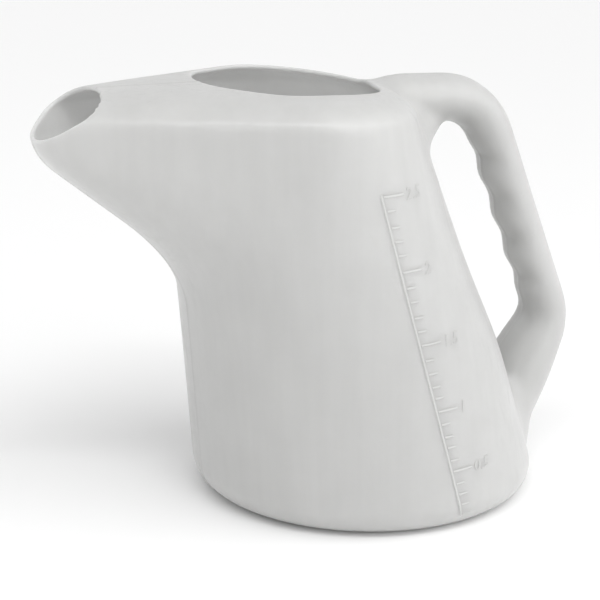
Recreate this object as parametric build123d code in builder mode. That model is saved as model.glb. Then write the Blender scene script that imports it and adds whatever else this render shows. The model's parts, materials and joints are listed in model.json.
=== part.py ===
"""One-piece blow-moulded measuring jug with a pouring spout and a hollow grip.

Frame: origin at the centre of the standing face, +Z up, spout towards -X, handle towards +X.
The jug is symmetric about the XZ plane, apart from the litre scale on its -Y side.
"""

import os
from math import cos, dist, exp, pi, radians, sin, sqrt, tan

from build123d import *

# ---- Driving dimensions (mm, degrees) ----
wall = 2.0  # moulded wall thickness

base_radius = 81.0  # the walls are round at the base
base_edge_radius = 15.0
recess_radius = 54.0  # pushed-up panel inside the standing ring
recess_depth = 4.0
foot_height = 8.0  # where the base region meets the side wall

deck_height = 190.5
deck_half_width = 77.0
deck_back_x = 6.0
deck_front_x = -94.5
back_fullness = 3.2  # the back wall stands this far out of its straight slope
back_fullest_height = 68.0
back_full_reach = 34.0
shoulder_width = 32.0  # the deck falls away in a quarter oval, wide across and shallow
shoulder_drop = 12.5

spout_tip_x = -153.5
spout_tip_height = 163.5
spout_underside_slope = 39.0
spout_nose_radius = 35.0  # at the tip, and growing below it
spout_nose_growth = 0.32
least_nose_radius = 3.0  # of the crest, where the shoulders of the spout meet
spout_throat_blend = 26.0
spout_lip_blend = 10.0  # the underside turns upright at the lip
mouth_foot_height = 169.0
mouth_slope = 36.5

throat_x = -97.0  # where the spout region meets the deck and the side wall

filler_centre_x = -41.0
filler_half_length = 38.5
filler_half_width = 54.0

# Handle: an oval bar along a bent centre line in the XZ plane, swelling into a foot below
handle_corners = [(-20.0, 173.0), (14.0, 179.0), (54.0, 178.0), (95.6, 70.0), (88.8, 57.8)]
handle_corner_radii = [40.0, 31.0, 22.0]
grip_half_width = 13.5
grip_half_thickness = 9.9
foot_middle = (79.5, 41.0)
foot_middle_half_size = (16.5, 14.2)  # across the jug, and in the plane of the handle
foot_end = (70.0, 22.0)
foot_end_half_size = (19.0, 15.2)
finger_pitch = 21.5
finger_length = 19.0
finger_depth = 2.0
finger_count = 4
first_finger_height = 148.8

# Litre scale, raised on the -Y side
mark_relief = 0.5
mark_stroke = 1.2
scale_foot_x = 10.0
scale_lean = 15.5  # towards the spout
ticks_per_litre = 10
tick_count = 25
short_tick = 5.0
long_tick = 11.0
long_tick_every = 5

# How finely the curved faces are drawn
outline_samples = 720
outline_points = 44
wall_levels = [30.0, 48.0, 66.0, 80.0, 92.0, 102.0, 112.0, 124.0, 138.0, 152.0, 166.0]
edge_steps = 6


def smooth_minimum(first, second, blend):
    """Lower of two values, with the change from one to the other rounded over the blend."""
    share = max(blend - abs(first - second), 0.0) / blend
    return min(first, second) - share**2 * blend / 4


def smooth_maximum(first, second, blend):
    """Higher of two values, with the change from one to the other rounded over the blend."""
    return -smooth_minimum(-first, -second, blend)


def plan_outline(height, inset):
    """Evenly spaced points round the plan outline: a round back with straight sides to the nose."""
    rise = height / deck_height
    half_width = base_radius + (deck_half_width - base_radius) * rise - inset
    back = base_radius + (deck_back_x - base_radius) * rise - inset
    back += back_fullness * exp(-(((height - back_fullest_height) / back_full_reach) ** 2))
    front = -base_radius + (deck_front_x + base_radius) * rise + inset
    underside = spout_tip_x + (spout_tip_height - height) / tan(radians(spout_underside_slope))
    underside += inset / sin(radians(spout_underside_slope))
    nose_tip = smooth_minimum(front, underside, spout_throat_blend)
    nose_tip = smooth_maximum(nose_tip, spout_tip_x + inset, spout_lip_blend)
    half_length = (back - front) / 2
    centre = (back + front) / 2
    drop = max(spout_tip_height - height, 0.0)
    widest_nose = 0.97 * min(half_length, half_width)
    nose_radius = min(spout_nose_radius + spout_nose_growth * drop - inset, widest_nose)
    nose_centre = nose_tip + nose_radius
    if nose_radius < least_nose_radius:
        flare = (half_width - nose_radius) / (centre - nose_centre)
        nose_centre += (least_nose_radius - nose_radius) / flare
        nose_radius = least_nose_radius
    dense = []
    for sample in range(outline_samples + 1):
        turn = 2 * pi * sample / outline_samples
        reach = sqrt((half_length * cos(turn)) ** 2 + (half_width * sin(turn)) ** 2)
        if centre * cos(turn) + reach > nose_centre * cos(turn) + nose_radius:
            dense.append((centre + half_length**2 * cos(turn) / reach, half_width**2 * sin(turn) / reach))
        else:
            dense.append((nose_centre + nose_radius * cos(turn), nose_radius * sin(turn)))
    return evenly_spaced(dense)


def evenly_spaced(closed):
    """Points at equal distances along a closed line of dense points."""
    steps = [dist(a, b) for a, b in zip(closed, closed[1:])]
    spacing = sum(steps) / outline_points
    points = []
    walked = 0.0
    for start, end, step in zip(closed, closed[1:], steps):
        while len(points) * spacing < walked + step and len(points) < outline_points:
            share = (len(points) * spacing - walked) / step
            points.append((start[0] + share * (end[0] - start[0]), start[1] + share * (end[1] - start[1])))
        walked += step
    return points


def levels(inset):
    """Heights of the plan outlines from base to deck, each with how far a rounded edge pulls it in."""
    foot = base_edge_radius - inset
    width = shoulder_width - inset
    drop = shoulder_drop - inset
    turns = [radians(90 * step / edge_steps) for step in range(edge_steps + 1)]
    rounded_foot = [(inset + foot * (1 - cos(turn)), foot * (1 - sin(turn))) for turn in turns]
    top = deck_height - inset
    rounded_shoulder = [(top - drop * (1 - sin(turn)), width * (1 - cos(turn))) for turn in turns]
    return rounded_foot + [(height, 0.0) for height in wall_levels] + rounded_shoulder


def moulding(inset):
    """The jug without its handle, as a closed solid set back from the outer face."""
    with BuildPart() as solid:
        for height, pulled_in in levels(inset):
            with BuildSketch(Plane.XY.offset(height)):
                with BuildLine():
                    Spline(*plan_outline(height, inset + pulled_in), periodic=True)
                make_face()
        loft(ruled=True)
        with Locations((0, 0, inset)):
            Cone(
                bottom_radius=recess_radius + inset,
                top_radius=recess_radius + inset - recess_depth,
                height=recess_depth,
                align=(Align.CENTER, Align.CENTER, Align.MIN),
                mode=Mode.SUBTRACT,
            )
    return solid.part


def oval(place, half_width, half_thickness):
    """An oval section of the handle on its plane."""
    with BuildSketch(place) as section:
        Ellipse(half_width, half_thickness)
    return section.sketch


def across(point, ahead):
    """Plane square to the handle's centre line at a point, with its first direction across the jug."""
    return Plane(origin=point, x_dir=(0, 1, 0), z_dir=ahead)


def handle_bar(inset):
    """The handle as one closed solid along its centre line, running on into the jug at both ends."""
    with BuildLine(Plane.XZ, mode=Mode.PRIVATE) as line:
        FilletPolyline(*handle_corners, radius=handle_corner_radii)
    path = line.wires()[0]
    half_sizes = (grip_half_width - inset, grip_half_thickness - inset)
    join = path.position_at(1)
    middle = Vector(foot_middle[0], 0, foot_middle[1])
    end = Vector(foot_end[0], 0, foot_end[1])
    grip_start = Vector(handle_corners[2][0], 0, handle_corners[2][1])
    grip_end = Vector(handle_corners[3][0], 0, handle_corners[3][1])
    along = (grip_end - grip_start).normalized()
    outward = Vector(-along.Z, 0, along.X)
    finger_radius = finger_length**2 / (8 * finger_depth) + finger_depth / 2
    to_first = (grip_start.Z - first_finger_height) / -along.Z
    with BuildPart() as solid:
        sweep(oval(across(path.position_at(0), path.tangent_at(0)), *half_sizes), path=path)
        sections = [
            oval(across(join, path.tangent_at(1)), *half_sizes),
            oval(across(middle, end - join), foot_middle_half_size[0] - inset, foot_middle_half_size[1] - inset),
            oval(across(end, end - middle), foot_end_half_size[0] - inset, foot_end_half_size[1] - inset),
        ]
        loft(sections)
        for finger in range(finger_count):
            centre = grip_start + along * (to_first + finger * finger_pitch)
            centre -= outward * (grip_half_thickness + finger_radius - finger_depth)
            with Locations(Location(tuple(centre), (90, 0, 0))):
                Cylinder(finger_radius + inset, 4 * grip_half_width, mode=Mode.SUBTRACT)
    return solid.part


def filler_hole():
    """The oval column that the filler opening is cut with."""
    with BuildPart() as solid:
        with BuildSketch(Plane.XY.offset(deck_height - shoulder_drop)):
            with Locations((filler_centre_x, 0)):
                Ellipse(filler_half_length, filler_half_width)
        extrude(amount=2 * shoulder_drop)
    return solid.part


def filled_height(litres):
    """Height of the surface when the jug holds this many litres, from the area of each 1 mm slice."""
    height = wall
    held = 0.0
    while held < litres * 1e6:
        height += 1.0
        points = plan_outline(height, wall)
        pairs = zip(points, points[1:] + points[:1])
        held += abs(sum(a[0] * b[1] - b[0] * a[1] for a, b in pairs)) / 2
    return height


outer = moulding(0.0)
inner = moulding(wall)
handle_outer = handle_bar(0.0)
handle_inner = handle_bar(wall)
hole = filler_hole()

# ---- Shell: thin walls with a pouring mouth, a filler opening and the two ports of the handle ----
with BuildPart() as shell:
    add(outer)
    add(inner, mode=Mode.SUBTRACT)
    add(handle_inner, mode=Mode.SUBTRACT)
    mouth = Plane(
        origin=(spout_tip_x, 0, mouth_foot_height),
        x_dir=(0, 1, 0),
        z_dir=(-sin(radians(mouth_slope)), 0, cos(radians(mouth_slope))),
    )
    split(bisect_by=mouth, keep=Keep.BOTTOM)
    add(hole, mode=Mode.SUBTRACT)

# ---- Regions of the shell, which meet face to face ----
foot_plane = Plane.XY.offset(foot_height)
deck_plane = Plane.XY.offset(deck_height - shoulder_drop)
throat_plane = Plane.YZ.offset(throat_x)

with BuildPart() as base:
    add(shell.part)
    split(bisect_by=foot_plane, keep=Keep.BOTTOM)

with BuildPart() as spout:
    add(shell.part)
    split(bisect_by=foot_plane, keep=Keep.TOP)
    split(bisect_by=throat_plane, keep=Keep.BOTTOM)

with BuildPart() as deck:
    add(shell.part)
    split(bisect_by=throat_plane, keep=Keep.TOP)
    split(bisect_by=deck_plane, keep=Keep.TOP)

with BuildPart() as side_wall:
    add(shell.part)
    split(bisect_by=throat_plane, keep=Keep.TOP)
    split(bisect_by=foot_plane, keep=Keep.TOP)
    split(bisect_by=deck_plane, keep=Keep.BOTTOM)

# ---- Handle: hollow bar with four finger dips, moulded in one with the jug at both ends ----
with BuildPart() as handle:
    add(handle_outer)
    add(handle_inner, mode=Mode.SUBTRACT)
    add(outer, mode=Mode.SUBTRACT)
    add(hole, mode=Mode.SUBTRACT)

# ---- Litre scale: a leaning line with a tick for each tenth of a litre, standing proud of the wall ----
scale_skin = moulding(-mark_relief)
tick_heights = [filled_height(count / ticks_per_litre) for count in range(1, tick_count + 1)]
with BuildPart() as litre_scale:
    with BuildSketch(Plane.XZ):
        for count, height in enumerate(tick_heights, start=1):
            length = long_tick if count % long_tick_every == 0 else short_tick
            start = scale_foot_x - (height - tick_heights[0]) * tan(radians(scale_lean))
            with Locations((start, height)):
                Rectangle(length, mark_stroke, align=(Align.MIN, Align.CENTER))
        rise = tick_heights[-1] - tick_heights[0]
        with Locations(Location((scale_foot_x, tick_heights[0] - mark_stroke / 2, 0), (0, 0, scale_lean))):
            Rectangle(
                mark_stroke,
                (rise + mark_stroke) / cos(radians(scale_lean)),
                align=(Align.CENTER, Align.MIN),
            )
    extrude(amount=2 * base_radius)
    add(scale_skin, mode=Mode.INTERSECT)
    add(outer, mode=Mode.SUBTRACT)

base.part.label = "base"
side_wall.part.label = "side_wall"
deck.part.label = "deck"
spout.part.label = "spout"
handle.part.label = "handle"
litre_scale.part.label = "litre_scale"

os.makedirs("parts", exist_ok=True)
for region in (base, side_wall, deck, spout, handle, litre_scale):
    export_step(region.part, f"parts/{region.part.label}.step")
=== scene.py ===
"""Looks of the spouted measuring jug: one continuous blow-moulded skin, its parting line and scale."""

import json
from math import cos, pi, radians, sin, tan

import bmesh
import bpy
import numpy as np
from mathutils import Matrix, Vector

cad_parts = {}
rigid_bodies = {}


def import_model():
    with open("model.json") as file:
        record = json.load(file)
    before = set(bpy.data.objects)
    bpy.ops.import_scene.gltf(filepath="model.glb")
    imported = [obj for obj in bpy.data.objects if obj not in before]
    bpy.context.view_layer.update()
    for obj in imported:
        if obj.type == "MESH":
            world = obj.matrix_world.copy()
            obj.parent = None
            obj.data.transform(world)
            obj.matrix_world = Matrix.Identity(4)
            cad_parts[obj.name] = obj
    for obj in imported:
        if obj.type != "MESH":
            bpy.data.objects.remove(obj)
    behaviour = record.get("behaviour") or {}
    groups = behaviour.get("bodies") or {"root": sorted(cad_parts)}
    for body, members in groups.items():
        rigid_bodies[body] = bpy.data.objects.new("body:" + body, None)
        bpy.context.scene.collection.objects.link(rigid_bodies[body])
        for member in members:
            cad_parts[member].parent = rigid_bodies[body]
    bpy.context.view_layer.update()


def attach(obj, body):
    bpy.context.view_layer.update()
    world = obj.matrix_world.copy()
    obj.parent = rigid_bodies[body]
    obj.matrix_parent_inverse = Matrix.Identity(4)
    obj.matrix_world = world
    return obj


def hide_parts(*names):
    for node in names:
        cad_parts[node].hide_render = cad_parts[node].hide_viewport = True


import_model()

MM = 0.001

# ---- Shape of the jug, in millimetres in the frame's axes ----
WALL = 2.0

BASE_RADIUS = 81.0
BASE_EDGE = 15.0
RECESS_RADIUS = 54.0
RECESS_DEPTH = 4.0
RECESS_TAPER = 0.6
RECESS_TOP_EDGE = 2.5
RECESS_EDGE = 5.0

DECK_HEIGHT = 190.5
DECK_HALF_WIDTH = 77.0
DECK_BACK = 6.0
BACK_FULLNESS = 3.2
BACK_FULLEST = 68.0
BACK_FULL_REACH = 34.0
DECK_FRONT = -94.5
SHOULDER_WIDTH = 32.0
SHOULDER_DROP = 12.5
CREST_SOFTNESS = 4.0

TIP_X = -153.5
TIP_HEIGHT = 163.5
UNDERSIDE_SLOPE = radians(39.0)
NOSE_RADIUS = 35.0
NOSE_GROWTH = 0.32
WIDEST_NOSE = 0.97
WIDEST_BLEND = 4.0
NOSE_BLEND = 8.0
OUTLINE_BLEND = 1.5
THROAT_BLEND = 26.0
LIP_BLEND = 10.0
MOUTH_FOOT = 169.0
MOUTH_SLOPE = radians(36.5)

FILLER_X = -41.0
FILLER_HALF_LENGTH = 38.5
FILLER_HALF_WIDTH = 54.0
FILLER_REACH = 30.0
LAND = 1.2

GRIP_LINE = [(-20.0, 171.5), (12.0, 179.4), (54.0, 178.0), (95.6, 70.0), (79.5, 41.0), (70.0, 22.0)]
GRIP_RADII = [40.0, 31.0, 24.0, 30.0]
LONGEST_TURN = 0.48
GRIP_HALF_WIDTH = 13.5
GRIP_HALF_THICKNESS = 9.9
FOOT_HALF_WIDTH = 18.0
FOOT_HALF_THICKNESS = 15.0
FOOT_TOP = 82.0
FOOT_HEIGHT = 45.0
GRIP_BLEND = 3.0
FOOT_BLEND = 13.0
FOOT_BLEND_TOP = 58.0
FOOT_BLEND_HEIGHT = 26.0
FOOT_BLEND_SIDE = 5.0
FOOT_BLEND_SPREAD = 12.0
ROOT_BLEND = 36.0
ROOT_HEIGHT = 163.0
ROOT_REACH = 12.0
FINGER_PITCH = 21.5
FINGER_DEPTH = 2.0
FINGER_LENGTH_SHARE = 0.93
FINGER_COUNT = 4
FIRST_FINGER_HEIGHT = 148.8

WOBBLE = 0.15
WOBBLE_START = 12.0
WOBBLE_RISE = 20.0
RIDGE_HEIGHT = 0.3
RIDGE_HALF_WIDTH = 0.7

MARK_FOOT_X = 10.0
MARK_LEAN = radians(15.5)
TICKS_PER_LITRE = 10
TICK_COUNT = 25
SHORT_TICK = 5.0
LONG_TICK = 11.0
LONG_TICK_EVERY = 5
MARK_HALF_WIDTH = 0.5
MARK_HEIGHT = 0.10
MARK_ROOT = 0.2
NUMERAL_SIZE = 7.5
NUMERAL_GAP = 1.5
NUMERAL_DROP = 2.6

CELL = 2.4
DIRECTIONS = 96


# ---- Camera, lights and floor ----
def look_from(position, yaw, pitch, lens):
    """Camera at a place, turned by yaw about +Z from looking along +Y, and pitched down."""
    data = bpy.data.cameras.new("camera")
    data.lens = lens
    data.sensor_width = 36.0
    data.clip_start = 0.01
    data.clip_end = 20.0
    camera = bpy.data.objects.new("camera", data)
    camera.location = position
    camera.rotation_euler = (pi / 2 - pitch, 0.0, -yaw)
    bpy.context.collection.objects.link(camera)
    bpy.context.scene.camera = camera


look_from(position=(-0.2891, -0.6298, 0.2788), yaw=radians(22.07), pitch=radians(15.61), lens=93.1)


def area_light(name, position, target, size, power):
    data = bpy.data.lights.new(name, "AREA")
    data.shape = "RECTANGLE"
    data.size, data.size_y = size
    data.energy = power
    light = bpy.data.objects.new(name, data)
    light.location = position
    aim = Vector(target) - Vector(position)
    light.rotation_euler = aim.to_track_quat("-Z", "Y").to_euler()
    bpy.context.collection.objects.link(light)


def sun_light(name, towards, spread, strength):
    """A far light that shines from a direction, as soft as a softbox of that angle."""
    data = bpy.data.lights.new(name, "SUN")
    data.energy = strength
    data.angle = spread
    light = bpy.data.objects.new(name, data)
    light.rotation_euler = Vector(towards).to_track_quat("Z", "Y").to_euler()
    bpy.context.collection.objects.link(light)


sun_light("key", (0.56, -0.76, 0.54), radians(80.0), 1.75)
area_light("softbox", (-0.26, -0.62, 1.00), (-0.05, -0.05, 0.17), (0.90, 0.10), 3.2)

world = bpy.data.worlds.new("studio")
world.use_nodes = True
world.node_tree.nodes["Background"].inputs["Color"].default_value = (1.0, 1.0, 1.0, 1.0)
world.node_tree.nodes["Background"].inputs["Strength"].default_value = 0.73
bpy.context.scene.world = world
bpy.context.scene.view_settings.view_transform = "Standard"

floor_mesh = bpy.data.meshes.new("floor")
floor_mesh.from_pydata([(-6, -6, 0), (6, -6, 0), (6, 6, 0), (-6, 6, 0)], [], [(0, 1, 2, 3)])
floor = bpy.data.objects.new("floor", floor_mesh)
bpy.context.collection.objects.link(floor)
floor_material = bpy.data.materials.new("floor")
floor_material.use_nodes = True
floor_shader = floor_material.node_tree.nodes["Principled BSDF"]
floor_shader.inputs["Base Color"].default_value = (0.93, 0.93, 0.93, 1.0)
floor_shader.inputs["Roughness"].default_value = 0.9
floor_mesh.materials.append(floor_material)


# ---- The jug's form as one function: negative inside, zero on the outer face ----
def smooth_minimum(first, second, blend):
    share = np.maximum(blend - np.abs(first - second), 0.0) / blend
    return np.minimum(first, second) - share**2 * blend / 4


def smooth_maximum(first, second, blend):
    return -smooth_minimum(-first, -second, blend)


def round_corner(first, second, radius):
    """Keeps what is inside both, with the edge between them rounded."""
    inner = np.minimum(np.maximum(first, second), -radius)
    return inner + np.hypot(np.maximum(first + radius, 0.0), np.maximum(second + radius, 0.0))


def plan_sizes(height):
    """Back oval and nose circle of the plan outline at each height."""
    rise = height / DECK_HEIGHT
    half_width = BASE_RADIUS + (DECK_HALF_WIDTH - BASE_RADIUS) * rise
    back = BASE_RADIUS + (DECK_BACK - BASE_RADIUS) * rise
    back += BACK_FULLNESS * np.exp(-(((height - BACK_FULLEST) / BACK_FULL_REACH) ** 2))
    front = -BASE_RADIUS + (DECK_FRONT + BASE_RADIUS) * rise
    underside = TIP_X + (TIP_HEIGHT - height) / tan(UNDERSIDE_SLOPE)
    nose_tip = smooth_maximum(smooth_minimum(front, underside, THROAT_BLEND), TIP_X, LIP_BLEND)
    half_length = (back - front) / 2
    drop = np.maximum(TIP_HEIGHT - height, 0.0)
    widest = WIDEST_NOSE * smooth_minimum(half_length, half_width, WIDEST_BLEND)
    nose_radius = smooth_minimum(NOSE_RADIUS + NOSE_GROWTH * drop, widest, NOSE_BLEND)
    return (back + front) / 2, half_length, half_width, nose_tip + nose_radius, nose_radius


def plan_support(turn, sizes):
    """How far the plan outline reaches in each direction from the origin."""
    centre, half_length, half_width, nose_centre, nose_radius = sizes
    c, s = np.cos(turn), np.sin(turn)
    oval = centre * c + np.sqrt((half_length * c) ** 2 + (half_width * s) ** 2)
    return smooth_maximum(oval, nose_centre * c + nose_radius, OUTLINE_BLEND)


def plan_distance(x, y, height):
    """Distance outside the plan outline, negative within it, from its supporting lines."""
    sizes = plan_sizes(height)
    aside = np.sqrt(y * y + CREST_SOFTNESS**2)

    def beyond(turn):
        return x * np.cos(turn) + aside * np.sin(turn) - plan_support(turn, sizes)

    best_value = np.full(x.shape, -1e9)
    best_turn = np.zeros(x.shape)
    for turn in np.linspace(0.0, pi, DIRECTIONS // 2 + 1):
        value = beyond(turn)
        better = value > best_value
        best_value = np.where(better, value, best_value)
        best_turn = np.where(better, turn, best_turn)
    step = 2 * pi / DIRECTIONS
    for _ in range(3):
        below, above = beyond(best_turn - step), beyond(best_turn + step)
        bend = below + above - 2 * best_value
        shift = np.where(bend < -1e-12, 0.5 * (below - above) / np.minimum(bend, -1e-12), 0.0)
        best_turn = best_turn + np.clip(shift, -1.0, 1.0) * step
        best_value = beyond(best_turn)
        step *= 0.3
    return best_value


def smooth_step(value):
    share = np.clip(value, 0.0, 1.0)
    return share * share * (3.0 - 2.0 * share)


def oval_shoulder(wall, above_deck):
    """Rounds the deck into the wall by a quarter oval, wide across the deck and shallow."""
    across = np.maximum(wall / SHOULDER_WIDTH + 1.0, 0.0)
    upward = np.maximum(above_deck / SHOULDER_DROP + 1.0, 0.0)
    norm = np.maximum(np.hypot(across, upward), 1e-6)
    slope = np.hypot(across / SHOULDER_WIDTH, upward / SHOULDER_DROP) / norm
    outside = (norm - 1.0) / np.maximum(slope, 1.0 / SHOULDER_WIDTH)
    within = np.maximum(wall, above_deck)
    return np.where(across + upward > 0.0, outside, within)


def jug_distance(x, y, z):
    """The jug without its handle."""
    height = np.clip(z, 0.0, DECK_HEIGHT)
    wall = plan_distance(x, y, height)
    body = round_corner(oval_shoulder(wall, z - DECK_HEIGHT), -z, BASE_EDGE)
    recess_side = np.hypot(x, y) - RECESS_RADIUS + z * RECESS_TAPER
    recess = round_corner(recess_side, z - RECESS_DEPTH, RECESS_TOP_EDGE)
    return smooth_maximum(body, -recess, RECESS_EDGE)


def grip_centre_line():
    """Dense points along the middle of the handle, with its corners rounded."""
    points = [Vector((x, z)) for x, z in GRIP_LINE]
    line = [points[0]]
    for before, corner, after, radius in zip(points, points[1:], points[2:], GRIP_RADII):
        back, ahead = (before - corner).normalized(), (after - corner).normalized()
        half_angle = back.angle(ahead) / 2
        shorter = min((before - corner).length, (after - corner).length)
        reach = min(radius / tan(half_angle), LONGEST_TURN * shorter)
        start, end = corner + back * reach, corner + ahead * reach
        for step in range(13):
            share = step / 12
            line.append(start * (1 - share) ** 2 + corner * 2 * share * (1 - share) + end * share**2)
    line.append(points[-1])
    return line


def capsule_distance(x, y, z):
    """The handle: distance to an oval bar round its centre line."""
    line = grip_centre_line()
    best = np.full(x.shape, 1e9)
    height = np.zeros(x.shape)
    side = np.zeros(x.shape)
    for a, b in zip(line, line[1:]):
        run = b - a
        size = run.length
        if size < 1e-6:
            continue
        share = np.clip(((x - a.x) * run.x + (z - a.y) * run.y) / size**2, 0.0, 1.0)
        px, pz = x - a.x - share * run.x, z - a.y - share * run.y
        away = np.hypot(px, pz)
        closer = away < best
        best = np.where(closer, away, best)
        height = np.where(closer, z - pz, height)
        side = np.where(closer, np.sign(run.x * pz - run.y * px), side)
    foot = smooth_step((FOOT_TOP - height) / FOOT_HEIGHT)
    half_width = GRIP_HALF_WIDTH + (FOOT_HALF_WIDTH - GRIP_HALF_WIDTH) * foot
    half_thickness = GRIP_HALF_THICKNESS + (FOOT_HALF_THICKNESS - GRIP_HALF_THICKNESS) * foot
    finger = (FIRST_FINGER_HEIGHT + FINGER_PITCH / 2 - z) / (FINGER_PITCH * FINGER_LENGTH_SHARE)
    gate = np.clip(np.minimum(finger, FINGER_COUNT - finger) * 2, 0.0, 1.0)
    dip = FINGER_DEPTH * gate * (0.5 - 0.5 * np.cos(2 * pi * finger)) * (side < 0)
    u, v = best / (half_thickness - dip), y / half_width
    norm = np.sqrt(u * u + v * v)
    slope = np.sqrt((u / half_thickness) ** 2 + (v / half_width) ** 2)
    return (norm - 1.0) * norm / np.maximum(slope, 1e-3)


def form(x, y, z):
    """The whole outer face, with the handle blended into the jug and its walls slightly uneven."""
    blend = GRIP_BLEND + ROOT_BLEND * np.exp(-(((z - ROOT_HEIGHT) / ROOT_REACH) ** 2))
    beside = smooth_step((np.abs(y) - FOOT_BLEND_SIDE) / FOOT_BLEND_SPREAD)
    blend += FOOT_BLEND * beside * smooth_step((FOOT_BLEND_TOP - z) / FOOT_BLEND_HEIGHT)
    smooth = smooth_minimum(jug_distance(x, y, z), capsule_distance(x, y, z), blend)
    uneven = np.sin(x / 21.0 + 1.3) * np.sin(z / 27.0 + 0.4) * np.cos(y / 24.0 + 0.9)
    return smooth + WOBBLE * uneven * np.clip((z - WOBBLE_START) / WOBBLE_RISE, 0.0, 1.0)


# ---- Meshing the form ----
def gradient(field, points, step=0.05):
    """Numerical gradient of a field at an array of points."""
    parts = []
    for axis in range(3):
        shift = np.zeros(3)
        shift[axis] = step
        ahead, behind = (points + shift).T, (points - shift).T
        parts.append((field(*ahead) - field(*behind)) / (2 * step))
    return np.stack(parts, axis=1)


def project(points, fields, rounds=2):
    """Moves points onto the zero of each field in turn."""
    for _ in range(rounds):
        for field in fields:
            slope = gradient(field, points)
            size = np.maximum((slope**2).sum(axis=1, keepdims=True), 1e-9)
            points = points - field(*points.T)[:, None] * slope / size
    return points


def unit_normals(points):
    slope = gradient(form, points)
    return slope / np.linalg.norm(slope, axis=1, keepdims=True)


def surface_net(low, high, cell):
    """Even quads over the form's zero surface, one point for each grid cell that it crosses."""
    counts = [int(round((h - l) / cell)) for l, h in zip(low, high)]
    axes = [l + cell * np.arange(n + 1) for l, n in zip(low, counts)]
    x, y, z = np.meshgrid(*axes, indexing="ij")
    value = form(x, y, z)
    inside = value < 0
    corner_sum = np.zeros(counts, dtype=int)
    corners = [(i, j, k) for i in (0, 1) for j in (0, 1) for k in (0, 1)]
    for i, j, k in corners:
        corner_sum += inside[i:i + counts[0], j:j + counts[1], k:k + counts[2]]
    active = (corner_sum > 0) & (corner_sum < 8)
    index = np.full(counts, -1)
    index[active] = np.arange(active.sum())
    where = np.argwhere(active)
    points = np.array(low) + (where + 0.5) * cell
    faces = []
    for axis in range(3):
        u, v = (axis + 1) % 3, (axis + 2) % 3
        here = [slice(None)] * 3
        there = [slice(None)] * 3
        here[axis], there[axis] = slice(0, -1), slice(1, None)
        first, second = inside[tuple(here)], inside[tuple(there)]
        crossing = np.argwhere(first != second)
        keep = (crossing[:, u] > 0) & (crossing[:, v] > 0)
        keep &= (crossing[:, u] < counts[u]) & (crossing[:, v] < counts[v])
        crossing = crossing[keep]
        ring = []
        for du, dv in ((1, 1), (0, 1), (0, 0), (1, 0)):
            spot = crossing.copy()
            spot[:, u] -= du
            spot[:, v] -= dv
            ring.append(index[spot[:, 0], spot[:, 1], spot[:, 2]])
        quads = np.stack(ring, axis=1)
        outward = first[crossing[:, 0], crossing[:, 1], crossing[:, 2]]
        faces.append(np.where(outward[:, None], quads, quads[:, ::-1]))
    return points, np.concatenate(faces)


def relax(points, faces, rounds):
    """Evens out the quads by moving each point towards its neighbours' middle and back to the form."""
    edges = np.concatenate([faces[:, [a, (a + 1) % 4]] for a in range(4)])
    for _ in range(rounds):
        total = np.zeros_like(points)
        count = np.zeros(len(points))
        for a, b in ((0, 1), (1, 0)):
            np.add.at(total, edges[:, a], points[edges[:, b]])
            np.add.at(count, edges[:, a], 1)
        points = 0.4 * points + 0.6 * total / count[:, None]
        points = project(points, [form], rounds=1)
    return points


def clip(points, faces, border, cell):
    """Cuts away what lies where the border field is positive, leaving a clean edge along its zero."""
    value = border(*points.T)
    near = np.abs(value) < 0.32 * cell
    points[near] = project(points[near], [border, form], rounds=4)
    value[near] = 0.0
    points = list(points)
    kept = []
    cuts = {}
    for face in faces:
        signs = [value[i] for i in face]
        if max(signs) <= 0:
            if min(signs) < 0:
                kept.append(list(face))
            continue
        if min(signs) >= 0:
            continue
        polygon = []
        for a, b in zip(face, list(face[1:]) + [face[0]]):
            if value[a] <= 0:
                polygon.append(a)
            if value[a] * value[b] < 0:
                key = (min(a, b), max(a, b))
                if key not in cuts:
                    share = value[a] / (value[a] - value[b])
                    cuts[key] = len(points)
                    points.append(points[a] * (1 - share) + points[b] * share)
                polygon.append(cuts[key])
        kept.append(polygon)
    points = np.array(points)
    fresh = np.array(sorted(cuts.values()), dtype=int)
    points[fresh] = project(points[fresh], [border, form], rounds=4)
    used = np.unique(np.concatenate([np.array(f) for f in kept]))
    renumber = np.full(len(points), -1)
    renumber[used] = np.arange(len(used))
    return points[used], [[int(renumber[i]) for i in f] for f in kept]


def open_loops(faces):
    """Border loops of a mesh, each in the order of its faces' edges."""
    directed = dict.fromkeys((a, b) for face in faces for a, b in zip(face, face[1:] + face[:1]))
    follow = {a: b for a, b in directed if (b, a) not in directed}
    loops = []
    while follow:
        start = next(iter(follow))
        loop = [start]
        here = follow.pop(start)
        while here != start:
            loop.append(here)
            here = follow.pop(here)
        loops.append(loop)
    return loops


def filler_distance(x, y):
    """Distance outside the filler opening's oval edge."""
    u, v = (x - FILLER_X) / FILLER_HALF_LENGTH, y / FILLER_HALF_WIDTH
    norm = np.maximum(np.hypot(u, v), 1e-6)
    slope = np.maximum(np.hypot(u / FILLER_HALF_LENGTH, v / FILLER_HALF_WIDTH), 1e-6)
    return (norm - 1.0) * norm / slope


def filler_border(x, y, z):
    return np.where(z > DECK_HEIGHT - FILLER_REACH, LAND - filler_distance(x, y), -50.0)


def mouth_border(x, y, z):
    """Height above the mouth's cut plane."""
    return (z - MOUTH_FOOT) * cos(MOUTH_SLOPE) - (x - TIP_X) * sin(MOUTH_SLOPE)


EDGE_TURNS = [radians(22.5 * n) for n in range(1, 8)]
ROUND_EDGE = [(WALL / 2 * sin(turn), WALL / 2 * (cos(turn) - 1)) for turn in EDGE_TURNS]


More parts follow.
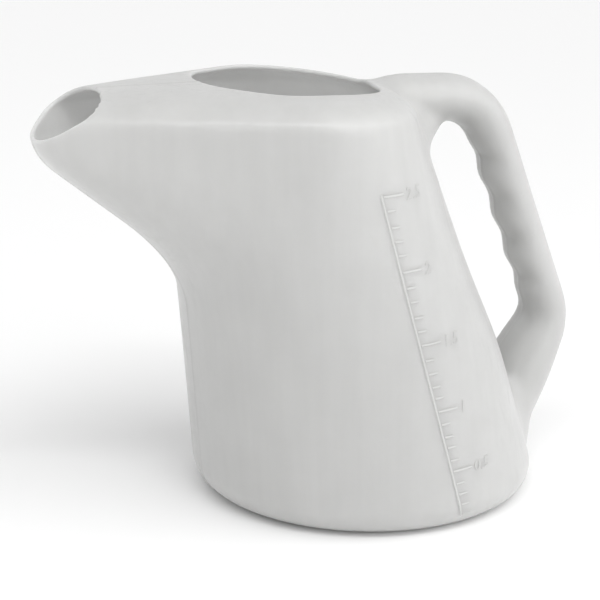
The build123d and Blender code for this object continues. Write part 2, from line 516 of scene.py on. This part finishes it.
def split_at_ridge(points, faces):
    """Splits the faces on both sides of the middle plane, so that the parting line can stand up sharply."""
    shell = bmesh.new()
    corners = [shell.verts.new(p) for p in points]
    for face in faces:
        shell.faces.new([corners[i] for i in face])
    for side in (-1, 1):
        everything = shell.verts[:] + shell.edges[:] + shell.faces[:]
        place = (0.0, side * RIDGE_HALF_WIDTH, 0.0)
        bmesh.ops.bisect_plane(shell, geom=everything, dist=1e-4, plane_co=place, plane_no=(0.0, 1.0, 0.0))
    shell.verts.index_update()
    points = np.array([tuple(v.co) for v in shell.verts])
    faces = [[v.index for v in face.verts] for face in shell.faces]
    shell.free()
    return points, faces


def build_skin():
    """Outer face, inner face 2 mm behind it, and rounded rims that join them at each opening."""
    low = (-162.0, -86.0 - CELL / 2, -6.0)
    high = (114.0, 86.0 + CELL / 2, 198.0)
    rows = int((high[1] - low[1]) / CELL) | 1
    low = (low[0], -rows * CELL / 2, low[2])
    high = (high[0], rows * CELL / 2, high[2])
    points, quads = surface_net(low, high, CELL)
    points = project(points, [form], rounds=3)
    points = relax(points, quads, 4)
    points = project(points, [form], rounds=2)
    points, faces = clip(points, quads, mouth_border, CELL)
    points, faces = clip(points, faces, filler_border, CELL)
    points, faces = split_at_ridge(points, faces)
    points[:, 2] = np.maximum(points[:, 2], 0.0)
    normals = unit_normals(points)
    outer_count = len(points)
    inner_points = points - WALL * normals
    ridge = RIDGE_HEIGHT * (np.abs(points[:, 1]) < 0.05) * np.clip(points[:, 2] / 1.5, 0.0, 1.0)
    points = points + ridge[:, None] * normals
    everything = [points, inner_points]
    all_faces = list(faces) + [[i + outer_count for i in reversed(f)] for f in faces]
    total = 2 * outer_count
    for loop in open_loops(faces):
        ring = points[loop]
        up = normals[loop]
        is_mouth = ring[:, 0].mean() < DECK_FRONT - 10
        border = mouth_border if is_mouth else filler_border
        towards = gradient(border, ring)
        towards -= (towards * up).sum(axis=1, keepdims=True) * up
        towards /= np.linalg.norm(towards, axis=1, keepdims=True)
        last = loop
        for out, rise in ROUND_EDGE:
            everything.append(ring + out * towards + rise * up)
            fresh = list(range(total, total + len(loop)))
            total += len(loop)
            for n in range(len(loop)):
                m = (n + 1) % len(loop)
                all_faces.append([last[m], last[n], fresh[n], fresh[m]])
            last = fresh
        inner = [i + outer_count for i in loop]
        for n in range(len(loop)):
            m = (n + 1) % len(loop)
            all_faces.append([last[m], last[n], inner[n], inner[m]])
    return np.concatenate(everything), all_faces


def mesh_object(name, points, faces, material, smooth):
    """An object from points in millimetres, shaded smooth or flat."""
    mesh = bpy.data.meshes.new(name)
    mesh.from_pydata([tuple(p) for p in np.asarray(points) * MM], [], faces)
    mesh.validate()
    mesh.polygons.foreach_set("use_smooth", [smooth] * len(mesh.polygons))
    mesh.materials.append(material)
    mesh.update()
    piece = bpy.data.objects.new(name, mesh)
    bpy.context.collection.objects.link(piece)
    return piece


# ---- Litre scale: thin ribs and numerals that follow the wall on the -Y side ----
def wall_points(x, z):
    """Points of the outer face on the -Y side at each x and z."""
    near, far = np.full(x.shape, -95.0), np.full(x.shape, -20.0)
    for _ in range(24):
        middle = (near + far) / 2
        inside = form(x, middle, z) < 0
        near, far = np.where(inside, near, middle), np.where(inside, middle, far)
    return np.column_stack([x, (near + far) / 2, z])


def tick_heights():
    """Height of the surface for each tick, from the area of each 1 mm slice of the inside."""
    turns = np.linspace(0.0, 2 * pi, 361)[:-1]
    turn_step = turns[1]
    heights = []
    height, held = WALL, 0.0
    for count in range(1, TICK_COUNT + 1):
        while held < count / TICKS_PER_LITRE * 1e6:
            height += 1.0
            reach = plan_support(turns, plan_sizes(np.array(height))) - WALL
            change = (np.roll(reach, -1) - np.roll(reach, 1)) / (2 * turn_step)
            held += 0.5 * np.sum(reach**2 - change**2) * turn_step
        heights.append(height)
    return heights


def rib(start, end):
    """A closed rounded bar on the wall between two places in x and z: its points and faces."""
    length = np.hypot(end[0] - start[0], end[1] - start[1])
    share = np.linspace(0.0, 1.0, max(int(length / 1.5), 3) + 1)
    line = wall_points(start[0] + share * (end[0] - start[0]), start[1] + share * (end[1] - start[1]))
    normals = unit_normals(line)
    ahead = np.gradient(line, axis=0)
    side = np.cross(ahead, normals)
    side /= np.linalg.norm(side, axis=1, keepdims=True)
    profile = [(-2.0, -MARK_ROOT), (-1.0, 0.0), (-0.5, MARK_HEIGHT)]
    profile += [(-across, rise) for across, rise in reversed(profile)]
    rings = [line + across * MARK_HALF_WIDTH * side + rise * normals for across, rise in profile]
    points = np.stack(rings, axis=1).reshape(-1, 3)
    around = len(profile)
    faces = [list(range(around)), list(range(len(points) - 1, len(points) - around - 1, -1))]
    for n in range(len(line) - 1):
        for m in range(around):
            k = (m + 1) % around
            faces.append([n * around + m, (n + 1) * around + m, (n + 1) * around + k, n * around + k])
    return points, faces


def numeral(text, left, foot):
    """A raised numeral on the wall, its lower left corner at a place in x and z: points and faces."""
    curve = bpy.data.curves.new("numeral", "FONT")
    curve.body = text
    curve.size = NUMERAL_SIZE
    curve.extrude = (MARK_HEIGHT + MARK_ROOT) / 2
    curve.resolution_u = 3
    holder = bpy.data.objects.new("numeral", curve)
    mesh = bpy.data.meshes.new_from_object(holder)
    solid = bmesh.new()
    solid.from_mesh(mesh)
    bmesh.ops.remove_doubles(solid, verts=solid.verts, dist=1e-4)
    solid.verts.index_update()
    flat = np.array([tuple(v.co) for v in solid.verts])
    faces = [[v.index for v in face.verts] for face in solid.faces]
    solid.free()
    for block, item in ((bpy.data.objects, holder), (bpy.data.meshes, mesh), (bpy.data.curves, curve)):
        block.remove(item)
    base = wall_points(left + flat[:, 0], foot + flat[:, 1])
    rise = flat[:, 2] + (MARK_HEIGHT - MARK_ROOT) / 2
    return base + rise[:, None] * unit_normals(base), faces


def build_scale():
    heights = tick_heights()
    ends = [MARK_FOOT_X - (height - heights[0]) * tan(MARK_LEAN) for height in heights]
    parts = [rib((ends[0] + 0.3, heights[0] - 1.0), (ends[-1] - 0.3, heights[-1] + 1.0))]
    for count, (end, height) in enumerate(zip(ends, heights), start=1):
        is_long = count % LONG_TICK_EVERY == 0
        length = LONG_TICK if is_long else SHORT_TICK
        parts.append(rib((end + MARK_HALF_WIDTH + 0.3, height), (end + length, height)))
        if is_long:
            litres = f"{count / TICKS_PER_LITRE:g}"
            parts.append(numeral(litres, end + length + NUMERAL_GAP, height - NUMERAL_DROP))
    points, faces = [], []
    total = 0
    for part_points, part_faces in parts:
        points.append(part_points)
        faces += [[i + total for i in face] for face in part_faces]
        total += len(part_points)
    return np.concatenate(points), faces


# ---- Material ----
def natural_plastic(name, colour, translucency):
    """Unpigmented polyethylene from a fine-blasted mould: cloudy, streaked upright, satin and scuffed."""
    material = bpy.data.materials.new(name)
    material.use_nodes = True
    nodes, links = material.node_tree.nodes, material.node_tree.links
    shader = nodes["Principled BSDF"]
    shader.inputs["IOR"].default_value = 1.51
    shader.inputs["Subsurface Weight"].default_value = translucency
    shader.inputs["Subsurface Radius"].default_value = (1.0, 1.0, 1.0)
    shader.inputs["Subsurface Scale"].default_value = 0.011
    place = nodes.new("ShaderNodeTexCoord")

    def noise(scale, detail, stretch=(1.0, 1.0, 1.0), distortion=0.0):
        """Noise over the piece, with its grain size set by the scale per metre along each axis."""
        mapping = nodes.new("ShaderNodeMapping")
        mapping.inputs["Scale"].default_value = stretch
        links.new(place.outputs["Object"], mapping.inputs["Vector"])
        texture = nodes.new("ShaderNodeTexNoise")
        texture.inputs["Scale"].default_value = scale
        texture.inputs["Detail"].default_value = detail
        texture.inputs["Distortion"].default_value = distortion
        links.new(mapping.outputs["Vector"], texture.inputs["Vector"])
        return texture.outputs["Fac"]

    def spread(value, low, high, to_low, to_high):
        """Maps a range of values onto another, clamped at its ends."""
        span = nodes.new("ShaderNodeMapRange")
        limits = {"From Min": low, "From Max": high, "To Min": to_low, "To Max": to_high}
        for socket, number in limits.items():
            span.inputs[socket].default_value = number
        links.new(value, span.inputs["Value"])
        return span.outputs["Result"]

    def combine(operation, first, second):
        node = nodes.new("ShaderNodeMath")
        node.operation = operation
        links.new(first, node.inputs[0])
        links.new(second, node.inputs[1])
        return node.outputs["Value"]

    clouds = spread(noise(28.0, 4.0), 0.3, 0.7, 0.965, 1.03)
    streaks = spread(noise(160.0, 3.0, stretch=(1.0, 1.0, 0.05)), 0.35, 0.65, 0.985, 1.012)
    split = nodes.new("ShaderNodeSeparateXYZ")
    links.new(place.outputs["Object"], split.inputs["Vector"])
    # Base colour grows darker over the lowest 14 mm of the piece, towards the bottom.
    darker_towards_bottom = spread(split.outputs["Z"], 0.0, 0.014, 0.93, 1.0)
    shade = combine("MULTIPLY", combine("MULTIPLY", clouds, streaks), darker_towards_bottom)
    tint = nodes.new("ShaderNodeVectorMath")
    tint.operation = "SCALE"
    tint.inputs[0].default_value = colour
    links.new(shade, tint.inputs["Scale"])
    links.new(tint.outputs["Vector"], shader.inputs["Base Color"])

    scuffs = spread(noise(75.0, 6.0, stretch=(1.0, 1.0, 0.35), distortion=2.5), 0.56, 0.7, 0.0, 0.16)
    satin = spread(noise(420.0, 3.0), 0.3, 0.7, 0.29, 0.37)
    links.new(combine("ADD", satin, scuffs), shader.inputs["Roughness"])

    grain = nodes.new("ShaderNodeBump")
    grain.inputs["Strength"].default_value = 0.35
    grain.inputs["Distance"].default_value = 0.00006
    links.new(noise(2200.0, 2.0), grain.inputs["Height"])
    peel = nodes.new("ShaderNodeBump")
    peel.inputs["Strength"].default_value = 0.5
    peel.inputs["Distance"].default_value = 0.00012
    links.new(noise(210.0, 2.0), peel.inputs["Height"])
    links.new(grain.outputs["Normal"], peel.inputs["Normal"])
    links.new(peel.outputs["Normal"], shader.inputs["Normal"])
    return material


skin_plastic = natural_plastic("natural_plastic", (0.535, 0.535, 0.527), translucency=1.0)
skin_points, skin_faces = build_skin()
skin = mesh_object("jug_skin", skin_points, skin_faces, skin_plastic, smooth=True)
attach(skin, "root")
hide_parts("base", "side_wall", "deck", "spout", "handle")

rib_plastic = natural_plastic("natural_plastic_ribs", (0.50, 0.50, 0.492), translucency=0.0)
scale_points, scale_faces = build_scale()
scale_ribs = mesh_object("raised_litre_scale", scale_points, scale_faces, rib_plastic, smooth=False)
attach(scale_ribs, "root")
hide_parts("litre_scale")
